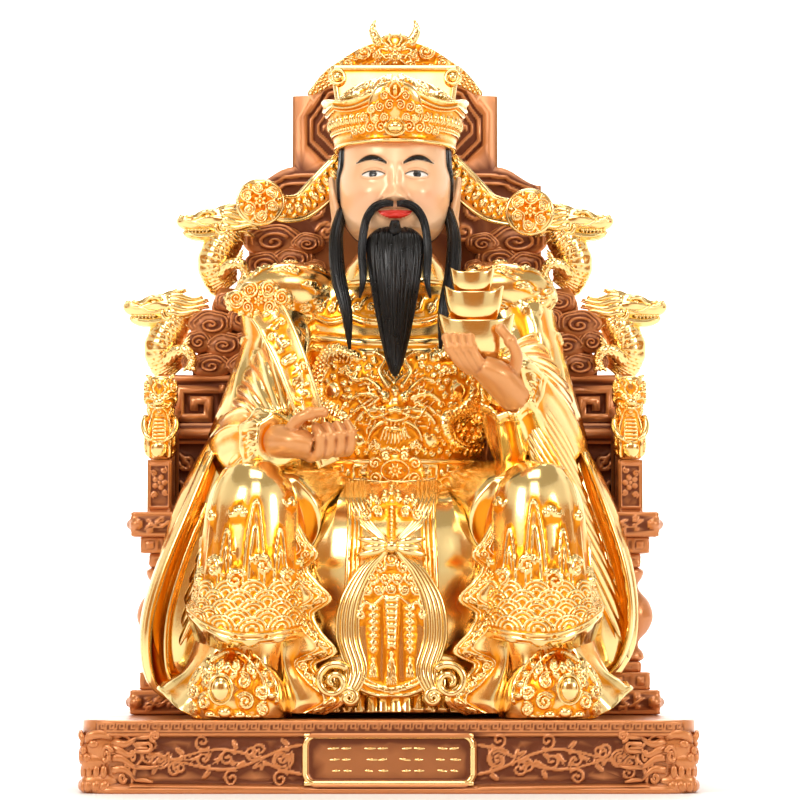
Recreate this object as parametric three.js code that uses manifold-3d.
// A seated god of wealth on a dragon throne: a cast, gilded and painted figure, about 488 mm tall.
// Frame: millimetres, +X to the viewer's right, +Y to the back, +Z up. The figure looks along -Y.
// The origin is the middle of the plinth's underside.
import * as THREE from "three";
import { mergeVertices } from "three/addons/utils/BufferGeometryUtils.js";
import Module from "manifold-3d";

const wasm = await Module();
wasm.setup();

// Clearance between separate pieces that touch.
const touchingGap = 0.3;

// The plinth.
const plinthWidth = 360;
const plinthDepth = 244;
const plinthHeight = 42;
const friezeHeight = 7;
const faceInset = 5;
const archRise = 2.5;
const cornerFootWidth = 46;
const lionInset = 17;
const plinthCorner = 24;
const cartoucheWidth = 96;
const cartoucheHeight = 27;
const cartoucheRim = 3;
const leafThickness = 1.8;
const leafRise = 6;

// The throne's pedestal, whose courses are listed from the plinth up.
const seatWidth = 320;
const pedestalFront = 28;
const pedestalDepth = 134;
const bottomSlabHeight = 15;
const lowerRosetteHeight = 10.5;
const lowerFretHeight = 6.3;
const waistHeight = 57.2;
const upperFretHeight = 8.5;
const upperRosetteHeight = 9.7;
const seatSlabHeight = 15.3;
const courseStep = 5;

// The throne's back: a tall panel with shoulders, and a lower wall in front of it that the arms meet.
const backFront = 72;
const backThickness = 26;
const topPanelWidth = 132;
const topPanelRise = 271;
const topPanelCrown = 7;
const shoulderWidth = 188;
const shoulderRise = 225;
const shoulderDrop = 12;
const wallWidth = 300;
const wallTopWidth = 227;
const wallRise = 144;
const wallThickness = 24;
const panelRelief = 3;

// The arms: a post at the front, a panel behind it and a rail along its top.
const postWidth = 15;
const postDepth = 24;
const postSpacing = 287;
const postRise = 32;
const postFront = 18;
const armRise = 60;

// The gilt pieces set on the throne.
const beastHeight = 53;
const beastWidth = 22;
const dragonThickness = 19;
const dragonRise = 42;
const crestWidth = 114;
const crestHeight = 42;

// The throne and the figure stand this far to the viewer's right of the plinth's middle.
const seatOffset = 3.5;

// The seated figure, soles to hat. Its pose and carving are shares of this height: the tables
// below are drawn on a figure 397 mm tall and are scaled from it.
const seatedHeight = 402;
const drawnHeight = 397;

const plinthTop = plinthHeight;
const courses = [
  { name: "bottom slab", height: bottomSlabHeight, inset: 0 },
  { name: "lower rosettes", height: lowerRosetteHeight, inset: courseStep },
  { name: "lower fret", height: lowerFretHeight, inset: 2 * courseStep },
  { name: "waist", height: waistHeight, inset: 3.2 * courseStep },
  { name: "upper fret", height: upperFretHeight, inset: 2 * courseStep },
  { name: "upper rosettes", height: upperRosetteHeight, inset: courseStep },
  { name: "seat slab", height: seatSlabHeight, inset: 0 },
];
const pedestalBottom = plinthTop + touchingGap;
const seatTop = pedestalBottom + courses.reduce((sum, course) => sum + course.height, 0);

// Solids: three.js geometry in, manifold solids joined and cut, geometry out.

function solid(geometry) {
  const bare = geometry.index ? geometry.toNonIndexed() : geometry.clone();
  bare.deleteAttribute("normal");
  bare.deleteAttribute("uv");
  const merged = mergeVertices(bare, 1e-3);
  const mesh = new wasm.Mesh({
    numProp: 3,
    vertProperties: merged.getAttribute("position").array,
    triVerts: new Uint32Array(merged.index.array),
  });
  return new wasm.Manifold(mesh);
}

function join(solids) {
  return solids.reduce((whole, piece) => whole.add(piece));
}

// The largest body of a joined solid, without slivers that a cut may leave loose.
function mainBody(whole) {
  return whole.decompose().reduce((largest, part) => (part.volume() > largest.volume() ? part : largest));
}

function geometryOf(whole) {
  const mesh = mainBody(whole).getMesh();
  const geometry = new THREE.BufferGeometry();
  geometry.setAttribute("position", new THREE.BufferAttribute(mesh.vertProperties, 3));
  geometry.setIndex(new THREE.BufferAttribute(mesh.triVerts, 1));
  const faceted = geometry.toNonIndexed();
  faceted.computeVertexNormals();
  return faceted;
}

// A closed skin over a stack of rings, each a loop of points that runs anticlockwise seen from the end.
function skin(rings) {
  const count = rings[0].length;
  const positions = rings.flat().flatMap((p) => [p.x, p.y, p.z]);
  const index = [];
  for (let r = 0; r + 1 < rings.length; r++) {
    for (let i = 0; i < count; i++) {
      const a = r * count + i;
      const b = r * count + ((i + 1) % count);
      index.push(a, b, b + count, a, b + count, a + count);
    }
  }
  const first = rings.length * count;
  const middle = (ring) => ring.reduce((sum, p) => sum.add(p), new THREE.Vector3()).divideScalar(count);
  const bottom = middle(rings[0]);
  const top = middle(rings[rings.length - 1]);
  positions.push(bottom.x, bottom.y, bottom.z, top.x, top.y, top.z);
  const last = (rings.length - 1) * count;
  for (let i = 0; i < count; i++) {
    const next = (i + 1) % count;
    index.push(first, next, i);
    index.push(first + 1, last + i, last + next);
  }
  const geometry = new THREE.BufferGeometry();
  geometry.setAttribute("position", new THREE.Float32BufferAttribute(positions, 3));
  geometry.setIndex(index);
  return geometry;
}

// A smooth value between the rows of a table: a Catmull-Rom curve through every column at once.
function between(rows, share) {
  const place = Math.min(Math.max(share, 0), 1) * (rows.length - 1);
  const i = Math.min(Math.floor(place), rows.length - 2);
  const t = place - i;
  const row = (n) => rows[Math.min(Math.max(n, 0), rows.length - 1)];
  return rows[0].map((_, column) => {
    const [a, b, c, d] = [row(i - 1), row(i), row(i + 1), row(i + 2)].map((r) => r[column]);
    const cubic = (2 * b - 2 * c + (c - a) / 2 + (d - b) / 2) * t ** 3;
    const square = (3 * c - 3 * b - (c - a) - (d - b) / 2) * t ** 2;
    return cubic + square + ((c - a) / 2) * t + b;
  });
}

// An oval section carried along a path. Each station is [x, y, z, half width, half depth]. The depth
// lies along `depthWay`, turned square to the path, and `fold` scales the section by angle and share.
function sweep(stations, { sides = 8, steps = 6, depthWay = [0, 1, 0], fold = () => 1, square = 1 } = {}) {
  const way = new THREE.Vector3(...depthWay);
  const rings = [];
  for (let k = 0; k <= steps; k++) {
    const share = k / steps;
    const [x, y, z, halfWidth, halfDepth] = between(stations, share);
    const ahead = between(stations, share + 0.01);
    const behind = between(stations, share - 0.01);
    const tangent = new THREE.Vector3(ahead[0] - behind[0], ahead[1] - behind[1], ahead[2] - behind[2]);
    tangent.normalize();
    const depth = way.clone().addScaledVector(tangent, -way.dot(tangent)).normalize();
    const width = depth.clone().cross(tangent);
    const ring = [];
    for (let i = 0; i < sides; i++) {
      const angle = (i / sides) * 2 * Math.PI;
      const [c, s] = [Math.cos(angle), Math.sin(angle)];
      const grow = fold(angle, share);
      const point = new THREE.Vector3(x, y, z);
      point.addScaledVector(width, halfWidth * Math.sign(c) * Math.abs(c) ** square * grow);
      point.addScaledVector(depth, halfDepth * Math.sign(s) * Math.abs(s) ** square * grow);
      ring.push(point);
    }
    rings.push(ring);
  }
  return solid(skin(rings));
}

// Raised folds: `count` round ridges around a section, growing from nothing at the path's start.
function folds(count, height, turn = 0) {
  return (angle, share) => {
    const ridge = Math.exp(2.2 * (Math.cos(count * angle + turn * share) - 1));
    return 1 + height * ridge * Math.min(1, 1.6 * share);
  };
}

function ball(x, y, z, rx, ry = rx, rz = rx, detail = 7) {
  const geometry = new THREE.SphereGeometry(1, detail, Math.max(4, Math.round(detail * 0.6)));
  geometry.scale(rx, ry, rz);
  geometry.translate(x, y, z);
  return solid(geometry);
}

function block(x0, x1, y0, y1, z0, z1) {
  const geometry = new THREE.BoxGeometry(x1 - x0, y1 - y0, z1 - z0);
  geometry.translate((x0 + x1) / 2, (y0 + y1) / 2, (z0 + z1) / 2);
  return solid(geometry);
}

// An outline drawn in X and Z, given thickness from its front to its back.
function slab(outline, front, back) {
  const shape = new THREE.Shape(outline.map(([x, z]) => new THREE.Vector2(x, z)));
  const geometry = new THREE.ExtrudeGeometry(shape, { depth: back - front, bevelEnabled: false });
  geometry.rotateX(Math.PI / 2);
  geometry.translate(0, back, 0);
  return solid(geometry);
}

// An outline drawn in Y and Z, given thickness along X about the place x.
function sideSlab(outline, x, thickness) {
  const shape = new THREE.Shape(outline.map(([y, z]) => new THREE.Vector2(y, z)));
  const geometry = new THREE.ExtrudeGeometry(shape, { depth: thickness, bevelEnabled: false });
  geometry.rotateX(Math.PI / 2);
  geometry.rotateZ(Math.PI / 2);
  geometry.translate(x - thickness / 2, 0, 0);
  return solid(geometry);
}

// A scroll that winds inwards in the plane of X and Z, as a tapering tube.
function scroll({ x, z, y, radius, turns = 1.3, thick = 2, from = 0, hand = 1, steps = 6, sides = 3 }) {
  const stations = [];
  for (let i = 0; i <= steps; i++) {
    const share = i / steps;
    const angle = from + hand * share * turns * 2 * Math.PI;
    const r = radius * (1 - 0.85 * share);
    stations.push([x + r * Math.cos(angle), y, z + r * Math.sin(angle), thick, thick]);
  }
  return sweep(stations, { sides, steps });
}

// The plinth.

function roundedRing(halfX, halfY, z) {
  const corner = plinthCorner;
  const cornerSteps = 3;
  const ring = [];
  const centres = [[1, 1], [-1, 1], [-1, -1], [1, -1]];
  centres.forEach(([sx, sy], quarter) => {
    for (let i = 0; i <= cornerSteps; i++) {
      const angle = (quarter + i / cornerSteps) * (Math.PI / 2);
      const px = sx * (halfX - corner) + corner * Math.cos(angle);
      const py = sy * (halfY - corner) + corner * Math.sin(angle);
      ring.push(new THREE.Vector3(px, py, z));
    }
  });
  return ring;
}

// A lion's head at a corner: brow and jaw, looking out along the diagonal. Those in front have a muzzle
// and a curl of mane as well.
function cornerLion(sideX, sideY) {
  const x = sideX * (plinthWidth / 2 - lionInset);
  const y = sideY * (plinthDepth / 2 - lionInset);
  const h = plinthHeight;
  const out = (d) => [x + sideX * d * Math.SQRT1_2, y + sideY * d * Math.SQRT1_2];
  const brow = ball(...out(0), h * 0.62, 17, 17, h * 0.32, 6);
  const jaw = ball(...out(5), h * 0.13, 14, 14, h * 0.17, 5);
  const muzzle = ball(...out(9), h * 0.42, 11, 11, h * 0.19, 4);
  const curl = ball(x - sideX * 17, y + sideY * 11, h * 0.5, 10, 7, h * 0.24, 4);
  return sideY < 0 ? [brow, jaw, muzzle, curl] : [brow, jaw];
}

function plinth() {
  const halfX = plinthWidth / 2;
  const halfY = plinthDepth / 2;
  const neck = plinthHeight - friezeHeight;
  const profile = [
    [4, 0],
    [2, 3],
    [faceInset, 8],
    [faceInset, neck - 3],
    [2.5, neck],
    [2.5, plinthHeight],
  ];
  const body = solid(skin(profile.map(([inset, z]) => roundedRing(halfX - inset, halfY - inset, z))));
  const front = -halfY + faceInset;
  const middle = (neck + 4) / 2;
  const frame = slab(chamferedPlate(cartoucheWidth, cartoucheHeight, middle), front - 3.5, front + 2);
  const fieldWidth = cartoucheWidth - 2 * cartoucheRim;
  const inside = chamferedPlate(fieldWidth, cartoucheHeight - 2 * cartoucheRim, middle);
  const recess = slab(inside, front - 9, front - 1.5);
  const leaves = [];
  for (const side of [-1, 1]) {
    const leafX = (at) => side * (cartoucheWidth / 2 + at * (halfX - cartoucheWidth / 2 - 36));
    for (const [at, hand] of [[0.25, 1], [0.75, -1]]) {
      const place = { x: leafX(at), z: middle, y: front, radius: cartoucheHeight * 0.3 };
      leaves.push(scroll({ ...place, thick: leafThickness, hand: hand * side, steps: 5 }));
    }
    const stem = [0.05, 0.5, 0.95].map((at, i) => {
      const rise = leafRise * (i % 2 ? 1 : -1);
      return [leafX(at), front, middle + rise, leafThickness, leafThickness];
    });
    leaves.push(sweep(stem, { sides: 3, steps: 4 }));
  }
  const corners = [[-1, -1], [1, -1], [1, 1], [-1, 1]];
  const lions = corners.flatMap(([sx, sy]) => cornerLion(sx, sy));
  const arch = halfX - cornerFootWidth;
  const archDeep = halfY - cornerFootWidth;
  const under = join([
    block(-arch, arch, -plinthDepth, plinthDepth, -1, archRise),
    block(-plinthWidth, plinthWidth, -archDeep, archDeep, -1, archRise),
  ]);
  const room = block(-halfX, halfX, -halfY, halfY, 0, plinthHeight);
  return join([body, frame, ...leaves, ...lions]).subtract(recess).subtract(under).intersect(room);
}

function chamferedPlate(width, height, middle) {
  const [w, h, cut] = [width / 2, height / 2, height * 0.22];
  return [
    [-w, middle - h + cut],
    [-w + cut, middle - h],
    [w - cut, middle - h],
    [w, middle - h + cut],
    [w, middle + h - cut],
    [w - cut, middle + h],
    [-w + cut, middle + h],
    [-w, middle + h - cut],
  ];
}

// The throne: pedestal, back, wall, arms and posts, with clouds and frets carved on them.

const backBack = backFront + backThickness;
const wallFront = backFront - wallThickness;
const topPanelTop = seatTop + topPanelRise;
const shoulderTop = seatTop + shoulderRise;
const wallTop = seatTop + wallRise;
const wallShoulder = seatTop + armRise + 29;
const wallInner = shoulderWidth / 2 - 14;
const postX = postSpacing / 2;
const postTop = seatTop + postRise;
const armTop = seatTop + armRise;

function pedestal() {
  const back = pedestalDepth - pedestalFront;
  const parts = [];
  let z = pedestalBottom;
  for (const { height, inset, name } of courses) {
    const half = seatWidth / 2 - inset;
    const top = z + height;
    parts.push(block(-half, half, -pedestalFront + inset, back - inset, z - 0.01, top + 0.01));
    if (name.endsWith("rosettes")) parts.push(...rosettes(half, -pedestalFront + inset, z, height));
    if (name.endsWith("slab")) parts.push(...cornerBalls(half, -pedestalFront, z, height));
    if (name === "waist") parts.push(...waistColumns(half, z, height));
    z = top;
  }
  return join(parts).intersect(block(-seatWidth, seatWidth, -200, 200, pedestalBottom, seatTop));
}

// Square bosses repeated along a band's front, near each end where they show.
function rosettes(half, front, z, height) {
  const bosses = [];
  for (const side of [-1, 1]) {
    for (let i = 0; i < 2; i++) {
      const x = side * (half - height * (0.9 + 1.5 * i));
      bosses.push(block(x - height / 2, x + height / 2, front - 1.2, front + 2, z + 1.5, z + height - 1.5));
    }
  }
  return bosses;
}

function cornerBalls(half, front, z, height) {
  return [-1, 1].map((side) => ball(side * (half - 2), front + 4, z + height / 2, 5, 5, height * 0.34, 4));
}

// A turned baluster with a round middle at each front corner of the waist.
function waistColumns(half, z, height) {
  const profile = [[0, 0], [8, 0], [5, 0.2], [13, 0.4], [13, 0.6], [5, 0.8], [8, 1], [0, 1]];
  const points = profile.map(([r, h]) => new THREE.Vector2(r, h * height));
  return [-1, 1].map((side) => {
    const turned = new THREE.LatheGeometry(points, 6);
    turned.rotateX(Math.PI / 2);
    turned.translate(side * half, -pedestalFront + 4 * courseStep, z);
    return solid(turned);
  });
}

// The top edge of the back: level at its ends and raised in the middle, from left to right.
function topEdge(lift = 0) {
  const half = topPanelWidth / 2;
  const right = [
    [0.58 * half, topPanelTop + topPanelCrown + lift],
    [0.84 * half, topPanelTop + lift],
  ];
  return [...right.map(([x, z]) => [-x, z]).reverse(), ...right];
}

function backOutline() {
  const [top, low] = [topPanelWidth / 2, shoulderWidth / 2];
  const side = [[low, seatTop - 1]];
  for (let i = 0; i < 4; i++) {
    const share = i / 4;
    const rise = 0.5 * (1 + Math.cos(Math.PI * share));
    side.push([low + (top - low) * share, shoulderTop - shoulderDrop * rise]);
  }
  side.push([top, shoulderTop], [top, topPanelTop]);
  const left = side.map(([x, z]) => [-x, z]);
  return [...side, ...topEdge().reverse(), ...left.reverse()];
}

function throneBack() {
  const back = slab(backOutline(), backFront, backBack);
  const frame = (half, low, high, inset) => [
    [-half + inset, low + inset],
    [half - inset, low + inset],
    [half - inset, high - inset],
    [-half + inset, high - inset],
  ];
  const panels = [
    [shoulderWidth / 2 - 8, seatTop + 12, shoulderTop - shoulderDrop - 7],
    [topPanelWidth / 2 - 9, shoulderTop + 7, topPanelTop - 8],
  ];
  const cuts = panels.flatMap((panel) => [
    slab(frame(...panel, 0), backFront - 5, backFront + panelRelief),
    slab(frame(...panel, 0), backBack - panelRelief, backBack + 5),
  ]);
  const fields = panels.map((panel) => slab(frame(...panel, 7), backFront + 0.8, backBack - 0.8));
  return join([back.subtract(join(cuts)), ...fields]);
}

// The lower wall on one side. Its outline steps out in a cloudy curve from its top to the arms.
function wallOutline(side) {
  const top = wallTopWidth / 2;
  const wide = wallWidth / 2;
  const outline = [
    [wallInner, seatTop - 1],
    [wide, seatTop - 1],
    [wide, wallShoulder],
    [wide - 17, wallShoulder],
    [wide - 20, wallShoulder + 14],
    [top + 1, wallShoulder + 32],
    [top, wallTop],
    [wallInner, wallTop],
  ];
  const placed = outline.map(([x, z]) => [side * x, z]);
  return side < 0 ? placed.reverse() : placed;
}

// A cloud: a flattened dome. The widest ones carry a winding ridge.
function cloud(side, [x, z, halfWidth, halfHeight, wound], front) {
  const dome = ball(side * x, front, z, halfWidth, 5, halfHeight, 5);
  const ridge = { x: side * x, z, y: front - 4, radius: halfHeight * 0.7, thick: 1.6, hand: side, from: 0.6 };
  return wound ? [dome, scroll({ ...ridge, turns: 1, steps: 4 })] : [dome];
}

function clouds(side) {
  const onWall = [
    [115, wallShoulder + 31, 17, 8, true],
    [108, wallShoulder + 17, 15, 7, true],
    [114, wallShoulder + 4, 13, 7, false],
  ];
  const onBack = [
    [shoulderWidth / 2 - 17, shoulderTop - 49, 21, 12, true],
    [shoulderWidth / 2 - 14, shoulderTop - 67, 13, 8, false],
  ];
  return [
    ...onWall.flatMap((one) => cloud(side, one, wallFront)),
    ...onBack.flatMap((one) => cloud(side, one, backFront)),
  ];
}

function wall(side) {
  const fretTop = wallShoulder - 5;
  const fretHeight = 22;
  const [fretIn, fretOut] = [wallInner + 8, wallWidth / 2 - 11];
  const across = (a, b) => (side > 0 ? [a, b] : [-b, -a]);
  const squareSides = across(fretOut - fretHeight, fretOut);
  const square = block(...squareSides, wallFront - 5, wallFront + 3, fretTop - fretHeight, fretTop);
  const lowTop = fretTop - fretHeight - 12;
  const low = block(...across(fretIn, fretOut), wallFront - 5, wallFront + 5, seatTop + 10, lowTop);
  const hook = scroll({
    x: side * (fretOut - fretHeight / 2),
    z: fretTop - fretHeight * 0.55,
    y: wallFront + 2,
    radius: fretHeight * 0.32,
    thick: 2.4,
    from: -Math.PI / 2,
    hand: side,
    turns: 0.9,
  });
  const rollZ = fretTop - fretHeight - 6;
  const roll = sweep(
    [
      [side * fretIn, wallFront, rollZ, 4, 3],
      [side * fretOut, wallFront, rollZ, 4, 3],
    ],
    { sides: 6, steps: 1 },
  );
  return [slab(wallOutline(side), wallFront, backFront + 1).subtract(join([square, low])), hook, roll];
}

function arm(side) {
  const x = side * postX;
  const half = postWidth / 2;
  const postBack = -postFront + postDepth;
  const panel = [
    [postBack - 1, seatTop - 1],
    [wallFront + 1, seatTop - 1],
    [wallFront + 1, armTop + 6],
    [wallFront * 0.6, armTop],
    [postBack - 1, armTop],
  ];
  const face = x - side * half;
  const window = block(face - 2, face + 2, postBack + 5, wallFront - 5, seatTop + 10, armTop - 14);
  const railLine = [
    [postBack - 8, armTop - 2],
    [wallFront * 0.5, armTop],
    [wallFront + 2, armTop + 6],
  ];
  const rail = railLine.map(([y, z]) => [x, y, z, half + 1.5, 4]);
  return [
    sideSlab(panel, x, postWidth - 0.4).subtract(window),
    sweep(rail, { sides: 5, steps: 2, depthWay: [0, 0, 1] }),
    block(x - half, x + half, -postFront, postBack, seatTop - 1, postTop),
    block(x - half * 0.8, x + half * 0.8, postBack - 8, postBack, seatTop, armTop),
    ball(x, -postFront, seatTop + postRise * 0.55, half * 0.8, 2, postRise * 0.24, 6),
  ];
}

function throne() {
  const sides = [-1, 1].flatMap((side) => [...wall(side), ...clouds(side), ...arm(side)]);
  return join([pedestal(), throneBack(), ...sides]);
}

// The gilt dragons: a scaled neck rising in a bow, and a long head with a mane that streams inwards.
// Places are out from the foot of the neck, up from it, and back.

function dragon(side, [baseX, baseY, baseZ]) {
  const at = (out, up, back = 0) => [side * (baseX + out), baseY + back, baseZ + up * (dragonRise / 42)];
  const half = dragonThickness / 2;
  const neck = [
    [...at(-6, 0, 2), 8, half * 0.8],
    [...at(-2, 7, 1), 10.5, half],
    [...at(1, 17), 11, half],
    [...at(-4, 27), 10.5, half],
    [...at(-10, 35), 8, half * 0.8],
  ];
  const brow = [
    [...at(-27, 44), 1.5, 3],
    [...at(-14, 43), 5, half * 0.75],
    [...at(-2, 43), 7, half],
    [...at(9, 42), 6.5, half * 0.8],
    [...at(18, 41), 4.5, half * 0.6],
    [...at(24, 44), 2.5, half * 0.35],
  ];
  const jaw = [
    [...at(-10, 35), 4, half * 0.8],
    [...at(2, 34), 5, half * 0.85],
    [...at(12, 34), 3.5, half * 0.6],
    [...at(20, 35), 2, half * 0.4],
  ];
  const horn = [
    [...at(4, 47), 2.5, 2.5],
    [...at(-5, 52), 2, 2],
    [...at(-13, 55), 0.8, 0.8],
  ];
  const lock = [
    [...at(-4, 38), 4, half * 0.8],
    [...at(-14, 37), 3, half * 0.6],
    [...at(-25, 40), 0.8, 1.5],
  ];
  const foreleg = [
    [...at(-3, 9, -7), 4.5, 4.5],
    [...at(-12, 14, -15), 4, 3.5],
    [...at(-19, 12, -16), 3.5, 3],
    [...at(-16, 1, -16), 3, 3],
  ];
  const whole = join([
    sweep(neck, { sides: 6, steps: 4 }),
    sweep(brow, { sides: 5, steps: 4 }),
    sweep(jaw, { sides: 4, steps: 2 }),
    sweep(horn, { sides: 3, steps: 2 }),
    sweep(lock, { sides: 3, steps: 2 }),
    sweep(foreleg, { sides: 3, steps: 3 }),
  ]);
  const aboveFoot = block(-plinthWidth, plinthWidth, baseY - dragonThickness, plinthDepth, baseZ, 2 * baseZ);
  const before = block(-plinthWidth, plinthWidth, -plinthDepth, baseY - half - touchingGap, 0, 2 * baseZ);
  return whole.intersect(aboveFoot.add(before));
}

// The gilt beast on each arm post: a horned head over a plated chest.
function postBeast(side) {
  const x = side * postX;
  const y = -postFront + 5;
  const low = postTop + touchingGap;
  const w = beastWidth / 2;
  const h = beastHeight;
  const body = [
    [x, y, low, w * 0.6, 9],
    [x, y, low + h * 0.14, w * 0.9, 11],
    [x, y, low + h * 0.36, w * 0.8, 10],
    [x, y, low + h * 0.52, w * 0.62, 8],
    [x, y, low + h * 0.62, w * 0.8, 10],
    [x, y, low + h * 0.84, w * 0.95, 10],
    [x, y, low + h * 0.94, w * 0.7, 8],
  ];
  const muzzle = ball(x, y - 8, low + h * 0.66, w * 0.6, 5, h * 0.07, 4);
  const parts = [sweep(body, { sides: 6, steps: 6 }), muzzle];
  for (const ear of [-1, 1]) {
    parts.push(ball(x + ear * w * 0.7, y, low + h * 0.93, 2.6, 3, h * 0.07, 4));
  }
  const behind = -postFront + postDepth - 8 - touchingGap;
  const room = block(x - w, x + w, -100, behind, low, low + h);
  return join(parts).intersect(room);
}

// The crest: a horned face over scrolls, standing on the throne's top edge.
function crest() {
  const half = crestWidth / 2;
  const middle = backFront + backThickness / 2;
  const crown = [0, 1, 2, 3, 4, 5, 6, 7, 8].map((i) => {
    const share = i / 4 - 1;
    return [-share * half, topPanelTop + 4 + 0.8 * crestHeight * (1 - share ** 2)];
  });
  const faceZ = topPanelTop + crestHeight * 0.7;
  const parts = [
    slab([[-half, topPanelTop], [half, topPanelTop], ...crown], middle - 7, middle + 7),
    ball(0, middle - 4, faceZ, 14, 9, crestHeight * 0.28, 7),
    ball(0, middle - 12, faceZ - crestHeight * 0.1, 7, 4, crestHeight * 0.1, 5),
  ];
  for (const side of [-1, 1]) {
    const horn = [
      [side * 9, middle, faceZ, 4, 3],
      [side * 14, middle, faceZ + crestHeight * 0.28, 3.4, 2.6],
      [side * 13, middle, faceZ + crestHeight * 0.55, 0.9, 0.9],
    ];
    parts.push(sweep(horn, { sides: 4, steps: 3 }));
    for (const [at, hand] of [[0.5, 1], [0.78, -1]]) {
      const radius = crestHeight * 0.32 * (1 - at ** 2) + 2;
      const z = topPanelTop + topPanelCrown * (1 - at) + radius + 4;
      parts.push(scroll({ x: side * half * at, z, y: middle - 7, radius, hand: hand * side }));
    }
  }
  const wide = 2 * half;
  const above = [
    [-wide, topPanelTop + touchingGap],
    ...topEdge(touchingGap),
    [wide, topPanelTop + touchingGap],
    [wide, topPanelTop + 2 * crestHeight],
    [-wide, topPanelTop + 2 * crestHeight],
  ];
  return join(parts).intersect(slab(above, middle - 40, middle + 40));
}

// The figure. Every station is scaled from the drawn figure and stands on the plinth.

const scale = seatedHeight / drawnHeight;
const ground = plinthTop + touchingGap;

// Heights, on the drawn figure, where the head meets the robe's collar and the hat.
const collarTop = 280;
const hatBottom = 337;

function figureSweep(stations, options) {
  const scaled = stations.map(([x, y, z, ...sizes]) => [
    x * scale,
    y * scale,
    ground + z * scale,
    ...sizes.map((size) => size * scale),
  ]);
  return sweep(scaled, options);
}

function figureBall(x, y, z, rx, ry, rz, detail) {
  return ball(x * scale, y * scale, ground + z * scale, rx * scale, ry * scale, rz * scale, detail);
}

function torso() {
  const body = [
    [0, 18, 100, 62, 40],
    [0, 16, 125, 62, 44],
    [0, 14, 148, 57, 46],
    [0, 14, 178, 60, 48],
    [0, 16, 208, 60, 44],
    [0, 18, 236, 62, 38],
    [0, 15, 258, 58, 30],
    [0, 15, 268, 36, 25],
    [0, 15, 275, 22, 18],
  ];
  const belt = [
    [0, 14, 142, 61, 50],
    [0, 14, 156, 62, 51],
  ];
  const collar = [
    [0, 3, 262, 34, 30],
    [0, 3, 271, 30, 27],
    [0, 3, collarTop, 23, 22],
  ];
  return [
    figureSweep(body, { sides: 10, steps: 5 }),
    figureSweep(belt, { sides: 10, steps: 1 }),
    figureSweep(collar, { sides: 8, steps: 2 }),
    figureBall(0, -37, 149, 13, 5, 9, 5),
  ];
}

// One arm: the upper sleeve, the wide forearm sleeve with its folds, the long hanging cuff and its hollow.
function sleeve(side, { shoulder, elbow, wrist, cuff }) {
  const place = ([x, ...rest]) => [side * x, ...rest];
  const [ex, ey, ez] = elbow;
  const [wx, wy, wz] = wrist;
  const upper = [
    [42, 18, 254, 22, 22],
    [68, 15, 248, 25, 24],
    [shoulder, 10, 222, 24, 26],
    [(shoulder + ex) / 2, 4, 190, 25, 27],
    [ex, ey, ez, 25, 26],
  ];
  const fore = [
    [ex, ey + 8, ez - 2, 25, 24],
    [ex - 2, ey - 16, ez - 6, 26, 28],
    [(ex + wx) / 2, (ey + wy) / 2 - 6, (ez + wz) / 2 - 2, 24, 26],
    [wx + 4, wy + 8, wz, 19, 20],
    [wx, wy, wz, 15, 16],
  ];
  const [top, low] = [cuff[0][2], cuff[cuff.length - 1][2]];
  const inner = cuff.slice(1).map(([x, y, z, w, d], i) => [x, y - d, z + 4, w * 0.66, d * (i ? 0.8 : 0.2)]);
  const hanging = figureSweep(cuff.map(place), { sides: 7, steps: 5 });
  const hollow = figureSweep(inner.map(place), { sides: 4, steps: 4 });
  return [
    figureSweep(upper.map(place), { sides: 8, steps: 4, fold: folds(4, 0.06, 2 * side) }),
    figureSweep(fore.map(place), { sides: 10, steps: 3, depthWay: [0, 0, 1], fold: folds(5, 0.1, side) }),
    hanging.subtract(hollow),
    figureBall(side * 66, 12, 256, 33, 24, 16, 6),
  ];
}

function leg(side) {
  const place = ([x, ...rest]) => [side * x, ...rest];
  const thigh = [
    [30, 22, 122, 32, 26],
    [48, -16, 122, 34, 28],
    [66, -52, 120, 35, 29],
    [76, -74, 114, 33, 28],
  ];
  const shin = [
    [75, -74, 144, 14, 12],
    [75, -76, 138, 27, 23],
    [76, -78, 122, 36, 29],
    [76, -80, 92, 39, 31],
    [77, -80, 62, 41, 32],
    [78, -80, 44, 43, 34],
  ];
  const underRobe = [
    [84, -76, 54, 28, 26],
    [88, -76, 28, 28, 28],
    [93, -76, 10, 34, 32],
    [98, -74, 0, 42, 36],
  ];
  const sideFold = [
    [114, -62, 60, 10, 12],
    [116, -62, 42, 9, 10],
    [112, -64, 30, 4, 5],
  ];
  return [
    figureSweep(thigh.map(place), { sides: 8, steps: 1, depthWay: [0, 0, 1] }),
    figureSweep(shin.map(place), { sides: 9, steps: 4 }),
    figureSweep(underRobe.map(place), { sides: 9, steps: 2 }),
    figureSweep(sideFold.map(place), { sides: 4, steps: 1 }),
    figureBall(side * 91, -93, 12, 31, 22, 27, 8),
    figureBall(side * 99, -113, 18, 6, 4, 7, 4),
  ];
}

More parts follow.
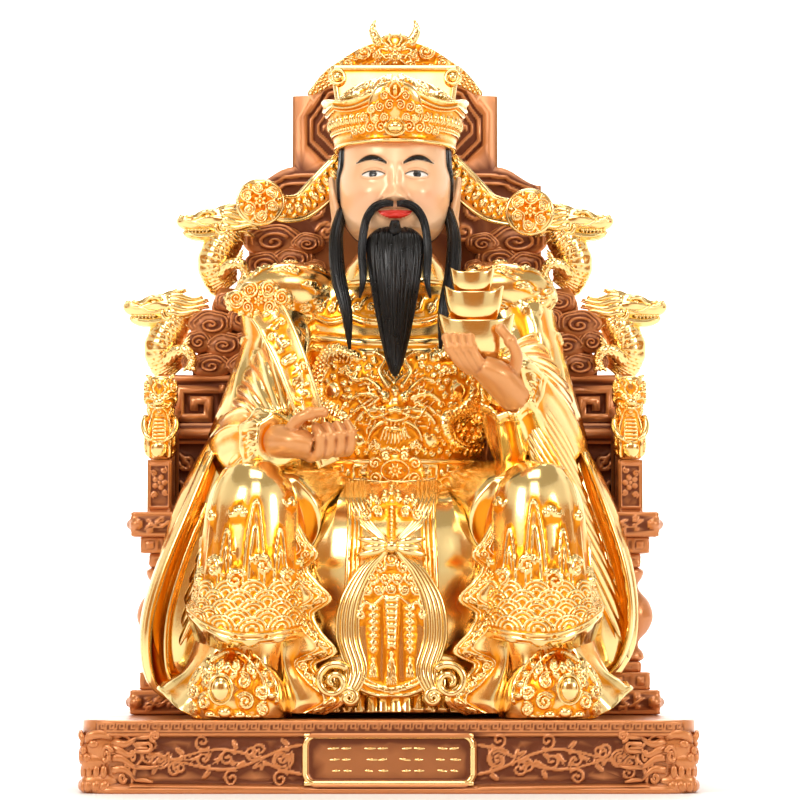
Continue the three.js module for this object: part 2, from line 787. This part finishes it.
function skirts() {
  const curtain = [
    [0, -16, 138, 42, 20],
    [0, -38, 122, 50, 28],
    [0, -48, 96, 52, 32],
    [0, -50, 60, 52, 34],
    [0, -52, 24, 58, 38],
    [0, -52, 0, 68, 46],
  ];
  const apron = [
    [-2, -38, 138, 27, 4],
    [-2, -66, 128, 28, 4],
    [-2, -80, 108, 29, 4],
    [-2, -87, 84, 29, 4],
    [-2, -91, 48, 30, 4],
    [-2, -94, 22, 28, 4],
    [-2, -95, 13, 12, 4],
  ];
  const parts = [
    figureSweep(curtain, { sides: 14, steps: 3, fold: folds(7, 0.08) }),
    figureSweep(apron, { sides: 4, steps: 5 }),
  ];
  for (const side of [-1, 1]) {
    const ribbon = [
      [side * 30, -46, 137, 5, 4],
      [side * 28, -76, 118, 5, 4],
      [side * 8, -89, 94, 5, 4],
      [side * 18, -92, 76, 6, 4],
      [side * 28, -93, 50, 6, 4],
      [side * 22, -96, 26, 6, 4],
      [side * 28, -99, 13, 5, 4],
    ].map(([x, ...rest]) => [x - 2, ...rest]);
    parts.push(figureSweep(ribbon, { sides: 3, steps: 7 }));
    parts.push(figureBall(side * 29 - 2, -98, 19, 11, 5, 11, 5));
  }
  return parts;
}

const rightSleeve = {
  shoulder: 70,
  elbow: [89, -10, 160],
  wrist: [71, -72, 160],
  cuff: [
    [96, -38, 150, 18, 14],
    [107, -44, 118, 20, 15],
    [120, -46, 80, 23, 16],
    [128, -46, 50, 23, 16],
    [130, -46, 24, 18, 13],
    [128, -46, 11, 7, 6],
  ],
};
const leftSleeve = {
  shoulder: 78,
  elbow: [92, -8, 160],
  wrist: [73, -72, 186],
  cuff: [
    [98, -36, 150, 18, 14],
    [108, -42, 118, 20, 15],
    [118, -44, 84, 21, 16],
    [123, -44, 56, 19, 15],
    [122, -44, 36, 14, 12],
    [119, -44, 23, 6, 6],
  ],
};

// Where the figure may be: before the pedestal, and between the arms and the wall above the seat.
function figureRoom() {
  const reach = 2 * plinthWidth;
  const g = touchingGap;
  const front = -pedestalFront - g;
  const beastFront = -postFront - 16;
  const between = postX - Math.max(beastWidth, postWidth + 3) / 2 - g;
  return join([
    block(-reach, reach, -reach, front, ground, seatTop + 1),
    block(-reach, reach, -reach, beastFront, ground, seatTop + reach),
    block(-between, between, beastFront - 1, wallFront - g, seatTop + g, seatTop + reach),
    block(-wallInner + g, wallInner - g, 0, backFront - g, seatTop + g, seatTop + reach),
  ]);
}

function robedBody() {
  const whole = [
    ...torso(),
    ...sleeve(-1, rightSleeve),
    ...sleeve(1, leftSleeve),
    ...leg(-1),
    ...leg(1),
    ...skirts(),
  ];
  return join(whole).intersect(figureRoom());
}

function skull(grow = 0) {
  const stations = [
    [0, -12, 283, 15, 17],
    [0, -12, 288, 25, 28],
    [0, -12, 297, 31, 34],
    [0, -11, 308, 33, 37],
    [0, -10, 322, 34, 38],
    [0, -10, 332, 33, 37],
    [0, -10, hatBottom - touchingGap / scale, 33, 36],
  ].map(([x, y, z, w, d]) => [x, y, z, w + grow, d + grow]);
  return figureSweep(stations, { sides: 10, steps: 5, square: 0.92 });
}

// The head, with its ears, hair, moustache and beard. The face is a plain, calm one.
function head() {
  const gap = touchingGap / scale;
  const neck = [
    [0, 2, collarTop + gap, 15, 15],
    [0, 2, collarTop + 10, 15, 15],
  ];
  const nose = [
    [0, -47, 326, 2.5, 2],
    [0, -49, 317, 3.5, 3],
    [0, -52, 308, 5, 4],
    [0, -49, 304, 4, 2.5],
  ];
  const beard = [
    [0, -41, 291, 21, 8],
    [0, -48, 274, 20, 8],
    [0, -51, 250, 17, 8],
    [0, -52, 226, 11, 7],
    [0, -52, 208, 5, 5],
    [0, -51, 200, 1.5, 1.5],
  ];
  const parts = [
    skull(),
    figureSweep(neck, { sides: 6, steps: 1 }),
    figureSweep(nose, { sides: 4, steps: 2 }),
    figureSweep(beard, { sides: 8, steps: 4, fold: folds(4, 0.1) }),
    figureBall(0, -47, 298, 9, 3, 3, 4),
  ];
  for (const side of [-1, 1]) {
    const place = ([x, ...rest]) => [side * x, ...rest];
    const ear = [
      [36, -4, 324, 2, 6],
      [37, -5, 314, 4, 8],
      [36, -8, 303, 3, 6],
      [36, -9, 294, 3, 5],
    ];
    const lock = [
      [33, -12, 300, 3, 5],
      [36, -25, 284, 4, 5],
      [34, -34, 262, 5, 4],
      [28, -42, 238, 4, 4],
      [27, -44, 216, 1, 1],
    ];
    const moustache = [
      [2, -48, 304, 2, 2],
      [12, -46, 302, 2.5, 2.5],
      [19, -43, 292, 3, 3],
      [20, -47, 274, 3, 3],
      [19, -54, 256, 2.5, 2.5],
      [21, -55, 246, 0.8, 0.8],
    ];
    parts.push(figureSweep(ear.map(place), { sides: 4, steps: 2 }));
    parts.push(figureSweep(lock.map(place), { sides: 4, steps: 4 }));
    parts.push(figureSweep(moustache.map(place), { sides: 3, steps: 4 }));
  }
  return join(parts);
}

const hatBand = [
  [0, -8, hatBottom, 36, 43],
  [0, -8, 345, 37.5, 44],
  [0, -8, 355, 39, 45],
  [0, -8, 369, 43, 47],
];

function hat() {
  const board = [
    [0, 12, 362, 35, 16],
    [0, 14, 380, 37, 14],
    [0, 16, 397, 40, 13],
  ];
  const mound = [
    [0, -8, 362, 38, 36],
    [0, -6, 376, 33, 28],
    [0, -4, 385, 16, 15],
  ];
  const diadem = [
    [0, -52, 346, 8, 3],
    [0, -55, 354, 24, 5],
    [0, -57, 364, 22, 5],
    [0, -57, 372, 12, 4],
    [0, -56, 380, 3, 2],
  ];
  const parts = [
    figureSweep(hatBand, { sides: 12, steps: 2 }),
    figureSweep(board, { sides: 8, steps: 1, square: 0.4 }),
    figureSweep(mound, { sides: 8, steps: 2 }),
    figureSweep(diadem, { sides: 5, steps: 4 }),
    figureBall(0, -60, 350, 7, 4, 5, 5),
  ];
  for (const side of [-1, 1]) parts.push(figureBall(side * 34, 3, 390, 4, 4, 4, 5));
  return join(parts);
}

// One wing of the hat: a pierced band that dips outwards from the rim to a scrolled rosette.
function hatWing(side) {
  const place = ([x, ...rest]) => [side * x, ...rest];
  const band = [
    [31, 5, 338, 8, 2],
    [38, 7, 328, 8.5, 2],
    [46, 8, 319, 9, 2],
    [57, 5, 309, 7.5, 2],
    [68, 0, 306 - side, 7.5, 2],
    [74, -3, 307 - 3 * side, 7.5, 2],
  ];
  const [cx, cz] = [82, 307 - 3 * side];
  const parts = [
    figureSweep(band.map(place), { sides: 4, steps: 4 }),
    figureBall(side * cx, -7, cz, 14.5, 4, 14, 8),
  ];
  for (let i = 0; i < 3; i++) {
    const angle = (i / 3) * 2 * Math.PI + 0.6;
    parts.push(figureBall(side * (cx + 9 * Math.cos(angle)), -9, cz + 8.5 * Math.sin(angle), 6, 4, 6, 4));
  }
  const hatUnderside = ground + hatBottom * scale - touchingGap;
  const belowHat = block(-plinthWidth, plinthWidth, -plinthDepth, plinthDepth, 0, hatUnderside);
  return join(parts).intersect(belowHat).subtract(skull(2 * touchingGap));
}

// The hands. Each is a palm with four fingers and a thumb, cut clear of the sleeve and what it holds.

function finger(points, thick) {
  const tapered = points.map(([x, y, z], i) => [x, y, z, thick * (i > 1 ? 0.85 : 1), thick]);
  return figureSweep(tapered, { sides: 4, steps: 2, depthWay: [0, 1, 0.2] });
}

function rightHand() {
  const [x, y, z] = rightSleeve.wrist;
  const palm = [
    [-x + 0.4, y - 0.8, z, 9, 10],
    [-x + 4, y - 8, z, 11, 11],
    [-57, -86, 159, 14, 9],
    [-47, -87, 156, 12, 8],
  ];
  const parts = [figureSweep(palm, { sides: 6, steps: 3, depthWay: [0, 0, 1] })];
  for (let i = 0; i < 4; i++) {
    const knuckle = -47 + i * 6;
    const low = 149 + i * 0.8;
    const points = [
      [knuckle - 3, -87, low + 2],
      [knuckle + 3, -96, low + 3],
      [knuckle + 4, -98, low + 13],
      [knuckle + 2, -93, low + 18],
    ];
    parts.push(finger(points, 4 - i * 0.25));
  }
  const thumb = [
    [-61, -88, 166],
    [-56, -97, 173],
    [-48, -99, 176],
    [-40, -97, 176],
  ];
  parts.push(finger(thumb, 4.4));
  return join(parts);
}

function leftHand() {
  const [x, y, z] = leftSleeve.wrist;
  const palm = [
    [x - 0.4, y - 0.8, z, 10, 10],
    [x - 4, y - 8, z, 12, 10],
    [57, -86, 196, 15, 9],
    [46, -90, 205, 14, 6],
  ];
  const parts = [figureSweep(palm, { sides: 6, steps: 3, depthWay: [0.4, 0, 1] })];
  for (let i = 0; i < 4; i++) {
    const out = -80 - i * 5.4;
    const points = [
      [54, out - 3, 202],
      [42, out - 3, 208],
      [32, out - 2, 217 - i],
      [26, out - 2, 226 - i * 2],
    ];
    parts.push(finger(points, 4 - i * 0.2));
  }
  const thumb = [
    [68, -86, 199],
    [75, -92, 212],
    [74, -94, 222],
    [71, -95, 228],
  ];
  parts.push(finger(thumb, 4.6));
  return join(parts).subtract(ingotRoom());
}

// The three boat-shaped ingots, stacked and cast as one.
const ingots = [
  [48, -82, 207, 23, 17],
  [48, -82, 226, 18.5, 16],
  [46, -82, 244, 14, 12],
];

function ingotStack(grow = 0) {
  const parts = ingots.flatMap(([x, y, z, length, height]) => {
    const boat = [
      [x, y, z - grow, length * 0.5 + grow, length * 0.32 + grow],
      [x, y, z + height * 0.4, length * 0.8 + grow, length * 0.42 + grow],
      [x, y, z + height, length + grow, length * 0.5 + grow],
      [x, y, z + height + 1.5 + grow, length * 0.9 + grow, length * 0.4 + grow],
    ];
    const crown = figureBall(x, y, z + height, length * 0.5, length * 0.4, height * 0.5 + grow, 5);
    return [figureSweep(boat, { sides: 8, steps: 2 }), crown];
  });
  return join(parts);
}

function ingotRoom() {
  return ingotStack(touchingGap / scale);
}

// The ruyi sceptre: a flat curved shaft with a cloud-shaped head.
function ruyiShaft(grow = 0) {
  const stations = [
    [-38, -92, 146, 6, 3],
    [-44, -91, 160, 6, 3],
    [-52, -88, 183, 8, 3],
    [-61, -82, 208, 9, 3],
    [-70, -74, 228, 10, 3],
    [-76, -68, 238, 10, 3],
  ].map(([x, y, z, w, d]) => [x, y, z, w + grow, d + grow]);
  return figureSweep(stations, { sides: 4, steps: 5 });
}

function ruyi() {
  const [cx, cy, cz] = [-80, -66, 243];
  const lobes = [[-16, 2], [-6, 8], [7, 9], [17, 3]].map(([dx, dz]) =>
    figureBall(cx + dx, cy - 2, cz + dz, 8, 5, 6, 4),
  );
  return join([ruyiShaft(), figureBall(cx, cy, cz, 24, 6, 10, 7), ...lobes]);
}

// Materials and the assembled group.

const finishes = {
  copper: new THREE.MeshStandardMaterial({ color: 0x9a5227, roughness: 0.42, metalness: 0.45 }),
  gilt: new THREE.MeshStandardMaterial({ color: 0xf2b233, roughness: 0.2, metalness: 1 }),
  skin: new THREE.MeshStandardMaterial({ color: 0xe8b98c, roughness: 0.35, metalness: 0 }),
};

function piece(name, whole, finish) {
  const mesh = new THREE.Mesh(geometryOf(whole), finishes[finish]);
  mesh.name = name;
  return mesh;
}

// Feet of the dragons' necks: the lower pair on the wall's shoulders, the upper pair on its top.
const lowerDragonFoot = [wallWidth / 2 - 3, wallFront + 6, wallShoulder + touchingGap];
const upperDragonFoot = [wallTopWidth / 2, backFront - dragonThickness / 2 - 6, wallTop + touchingGap];

const seated = new THREE.Group();
seated.position.x = seatOffset;
seated.add(piece("throne", throne(), "copper"));
seated.add(piece("crest", crest(), "gilt"));
for (const [side, label] of [[-1, "right"], [1, "left"]]) {
  seated.add(piece(`lower_dragon_${label}`, dragon(side, lowerDragonFoot), "gilt"));
  seated.add(piece(`upper_dragon_${label}`, dragon(side, upperDragonFoot), "gilt"));
  seated.add(piece(`post_beast_${label}`, postBeast(side), "gilt"));
  seated.add(piece(`hat_wing_${label}`, hatWing(side), "gilt"));
}
seated.add(piece("robed_body", robedBody(), "gilt"));
seated.add(piece("head", head(), "skin"));
seated.add(piece("hat", hat(), "gilt"));
seated.add(piece("hand_right", rightHand().subtract(ruyiShaft(touchingGap / scale)), "skin"));
seated.add(piece("hand_left", leftHand(), "skin"));
seated.add(piece("ruyi_sceptre", ruyi(), "gilt"));
seated.add(piece("ingot_stack", ingotStack(), "gilt"));

const group = new THREE.Group();
group.name = "seated_god_of_wealth";
group.add(piece("plinth", plinth(), "copper"), seated);

export default group;
